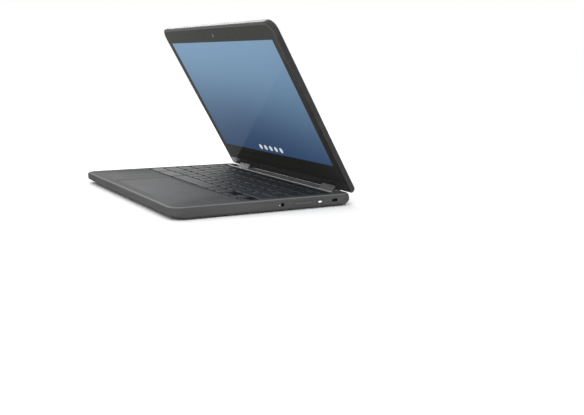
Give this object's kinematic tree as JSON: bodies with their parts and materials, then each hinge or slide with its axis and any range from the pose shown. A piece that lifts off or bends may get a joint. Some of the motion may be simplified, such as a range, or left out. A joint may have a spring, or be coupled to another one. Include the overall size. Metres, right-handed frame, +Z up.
{
  "type": "laptop computer",
  "caption": "Convertible laptop computer with a full-width island keyboard and touchpad, and a touch display that folds right round the base on twin-axis barrel hinges.",
  "frame": {"origin": "on the surface that the laptop stands on, under the middle of the resting laptop's box", "axes": "+X to the user's right, +Y away from the user towards the hinges, +Z up"},
  "size_m": [0.29, 0.2106, 0.1917],
  "materials": {
    "deck_plastic": "satin charcoal, fine spark-eroded grain",
    "cover_plastic": "matt black-grey, coarse moulded grain",
    "foot_rubber": "matt black rubber",
    "screw_steel": "dark zinc",
    "plate_metal": "satin",
    "dome_rubber": "translucent grey silicone",
    "board": "green solder mask",
    "copper": "satin copper",
    "battery_wrap": "pouch cells in matt black film",
    "port_metal": "satin nickel",
    "black_plastic": "matt black",
    "ribbon": "ribbon cable, satin",
    "light_pipe": "clear light pipe",
    "key_plastic": "matt, fine texture, grey legends",
    "pad_surface": "very smooth satin",
    "button_plastic": "satin",
    "hinge_steel": "satin",
    "barrel_plastic": "satin dark grey",
    "gear_brass": "satin",
    "lid_shell": "satin dark grey, fine grain",
    "rim_rubber": "satin grey elastomer",
    "bezel_glass": "gloss black, lit area shows a picture",
    "panel": "display cell",
    "badge_metal": "satin plain disc"
  },
  "bodies": {
    "base": {"keyboard_deck": "deck_plastic", "bottom_cover": "cover_plastic", "rubber_feet": "foot_rubber", "cover_screws": "screw_steel", "keyboard_backplate": "plate_metal", "key_dome_sheet": "dome_rubber", "mainboard": "board", "heat_spreader": "copper", "battery_pack": "battery_wrap", "speakers": "black_plastic", "audio_jack": "black_plastic", "side_button_board": "board", "side_board_ribbon": "ribbon", "usb_c_port": "port_metal", "usb_a_port": "port_metal", "hdmi_port": "port_metal", "card_slot": "port_metal", "wifi_card": "board", "touchpad_support": "plate_metal", "lock_slot_insert": "port_metal", "status_light": "light_pipe", "hinge_base_brackets": "hinge_steel", "display_cable_base": "black_plastic"},
    "hinge_link": {"hinge_barrel_left": "barrel_plastic", "hinge_barrel_right": "barrel_plastic", "hinge_link_plates": "hinge_steel"},
    "lid": {"lid_back_cover": "lid_shell", "lid_edge_bumper": "rim_rubber", "display_glass": "bezel_glass", "lcd_panel": "panel", "webcam_module": "black_plastic", "hinge_lid_brackets": "hinge_steel", "hinge_cover_bar": "lid_shell", "lid_badge": "badge_metal", "display_cable_lid": "black_plastic", "wifi_antennas": "ribbon"},
    "idlers_lower": {"idler_gears_lower": "gear_brass"},
    "idlers_upper": {"idler_gears_upper": "gear_brass"},
    "touchpad": {"touchpad": "pad_surface"},
    "power_button": {"power_button": "button_plastic"},
    "volume_rocker": {"volume_rocker": "button_plastic"},
    "keys_function_row": {"keys_function_row": "key_plastic"},
    "keys_number_row": {"keys_number_row": "key_plastic"},
    "keys_upper_row": {"keys_upper_row": "key_plastic"},
    "keys_home_row": {"keys_home_row": "key_plastic"},
    "keys_lower_row": {"keys_lower_row": "key_plastic"},
    "key_backspace": {"key_backspace": "key_plastic"},
    "key_tab": {"key_tab": "key_plastic"},
    "key_search": {"key_search": "key_plastic"},
    "key_enter": {"key_enter": "key_plastic"},
    "key_shift_left": {"key_shift_left": "key_plastic"},
    "key_shift_right": {"key_shift_right": "key_plastic"},
    "key_ctrl_left": {"key_ctrl_left": "key_plastic"},
    "key_alt_left": {"key_alt_left": "key_plastic"},
    "key_space": {"key_space": "key_plastic"},
    "keys_alt_ctrl_right": {"keys_alt_ctrl_right": "key_plastic"},
    "key_arrow_left": {"key_arrow_left": "key_plastic"},
    "key_arrow_up": {"key_arrow_up": "key_plastic"},
    "key_arrow_down": {"key_arrow_down": "key_plastic"},
    "key_arrow_right": {"key_arrow_right": "key_plastic"}
  },
  "joints": [
    {"name": "hinge_lower_turn", "type": "hinge", "parent": "base", "child": "hinge_link", "pos_m": [0, 0.09588, 0.0072], "axis": [-1, 0, 0], "range_deg": [-30, 150]},
    {"name": "hinge_upper_turn", "type": "hinge", "parent": "hinge_link", "child": "lid", "pos_m": [0, 0.10143, 0.01681], "axis": [-1, 0, 0], "range_deg": [-30, 150]},
    {"name": "idler_lower_turn", "type": "hinge", "parent": "hinge_link", "child": "idlers_lower", "pos_m": [0, 0.09773, 0.0104], "axis": [-1, 0, 0], "range_deg": [-30, 150]},
    {"name": "idler_upper_turn", "type": "hinge", "parent": "hinge_link", "child": "idlers_upper", "pos_m": [0, 0.09957, 0.01361], "axis": [-1, 0, 0], "range_deg": [-150, 30]},
    {"name": "click_touchpad", "type": "hinge", "parent": "base", "child": "touchpad", "pos_m": [0, -0.02983, 0.0107], "axis": [1, 0, 0], "range_deg": [0, 0.5], "stiffness_Nm_per_rad": 6, "springref_deg": -0.23},
    {"name": "button_power", "type": "slide", "parent": "base", "child": "power_button", "axis": [-1, 0, 0], "range_m": [0, 0.0004], "stiffness_N_per_m": 900, "springref_m": -0.0004},
    {"name": "button_volume", "type": "hinge", "parent": "base", "child": "volume_rocker", "pos_m": [0.1422, 0.04007, 0.00725], "axis": [0, 0, 1], "range_deg": [-1.5, 1.5], "stiffness_Nm_per_rad": 0.5},
    {"name": "key_rows_function_row_press", "type": "slide", "parent": "base", "child": "keys_function_row", "axis": [0, 0, 1], "range_m": [-0.0013, 0], "stiffness_N_per_m": 350, "springref_m": 0.0005},
    {"name": "key_rows_number_row_press", "type": "slide", "parent": "base", "child": "keys_number_row", "axis": [0, 0, 1], "range_m": [-0.0013, 0], "stiffness_N_per_m": 350, "springref_m": 0.0005},
    {"name": "key_rows_upper_row_press", "type": "slide", "parent": "base", "child": "keys_upper_row", "axis": [0, 0, 1], "range_m": [-0.0013, 0], "stiffness_N_per_m": 350, "springref_m": 0.0005},
    {"name": "key_rows_home_row_press", "type": "slide", "parent": "base", "child": "keys_home_row", "axis": [0, 0, 1], "range_m": [-0.0013, 0], "stiffness_N_per_m": 350, "springref_m": 0.0005},
    {"name": "key_rows_lower_row_press", "type": "slide", "parent": "base", "child": "keys_lower_row", "axis": [0, 0, 1], "range_m": [-0.0013, 0], "stiffness_N_per_m": 350, "springref_m": 0.0005},
    {"name": "key_backspace_press", "type": "slide", "parent": "base", "child": "key_backspace", "axis": [0, 0, 1], "range_m": [-0.0013, 0], "stiffness_N_per_m": 350, "springref_m": 0.0005},
    {"name": "key_tab_press", "type": "slide", "parent": "base", "child": "key_tab", "axis": [0, 0, 1], "range_m": [-0.0013, 0], "stiffness_N_per_m": 350, "springref_m": 0.0005},
    {"name": "key_search_press", "type": "slide", "parent": "base", "child": "key_search", "axis": [0, 0, 1], "range_m": [-0.0013, 0], "stiffness_N_per_m": 350, "springref_m": 0.0005},
    {"name": "key_enter_press", "type": "slide", "parent": "base", "child": "key_enter", "axis": [0, 0, 1], "range_m": [-0.0013, 0], "stiffness_N_per_m": 350, "springref_m": 0.0005},
    {"name": "key_shift_left_press", "type": "slide", "parent": "base", "child": "key_shift_left", "axis": [0, 0, 1], "range_m": [-0.0013, 0], "stiffness_N_per_m": 350, "springref_m": 0.0005},
    {"name": "key_shift_right_press", "type": "slide", "parent": "base", "child": "key_shift_right", "axis": [0, 0, 1], "range_m": [-0.0013, 0], "stiffness_N_per_m": 350, "springref_m": 0.0005},
    {"name": "key_ctrl_left_press", "type": "slide", "parent": "base", "child": "key_ctrl_left", "axis": [0, 0, 1], "range_m": [-0.0013, 0], "stiffness_N_per_m": 350, "springref_m": 0.0005},
    {"name": "key_alt_left_press", "type": "slide", "parent": "base", "child": "key_alt_left", "axis": [0, 0, 1], "range_m": [-0.0013, 0], "stiffness_N_per_m": 350, "springref_m": 0.0005},
    {"name": "key_space_press", "type": "slide", "parent": "base", "child": "key_space", "axis": [0, 0, 1], "range_m": [-0.0013, 0], "stiffness_N_per_m": 350, "springref_m": 0.0005},
    {"name": "key_rows_alt_ctrl_right_press", "type": "slide", "parent": "base", "child": "keys_alt_ctrl_right", "axis": [0, 0, 1], "range_m": [-0.0013, 0], "stiffness_N_per_m": 350, "springref_m": 0.0005},
    {"name": "key_arrow_left_press", "type": "slide", "parent": "base", "child": "key_arrow_left", "axis": [0, 0, 1], "range_m": [-0.0013, 0], "stiffness_N_per_m": 350, "springref_m": 0.0005},
    {"name": "key_arrow_up_press", "type": "slide", "parent": "base", "child": "key_arrow_up", "axis": [0, 0, 1], "range_m": [-0.0013, 0], "stiffness_N_per_m": 350, "springref_m": 0.0005},
    {"name": "key_arrow_down_press", "type": "slide", "parent": "base", "child": "key_arrow_down", "axis": [0, 0, 1], "range_m": [-0.0013, 0], "stiffness_N_per_m": 350, "springref_m": 0.0005},
    {"name": "key_arrow_right_press", "type": "slide", "parent": "base", "child": "key_arrow_right", "axis": [0, 0, 1], "range_m": [-0.0013, 0], "stiffness_N_per_m": 350, "springref_m": 0.0005}
  ],
  "couplings": [
    {"joint": "hinge_upper_turn", "follows": "hinge_lower_turn", "ratio": 1},
    {"joint": "idler_lower_turn", "follows": "hinge_lower_turn", "ratio": 1},
    {"joint": "idler_upper_turn", "follows": "hinge_lower_turn", "ratio": -1}
  ]
}
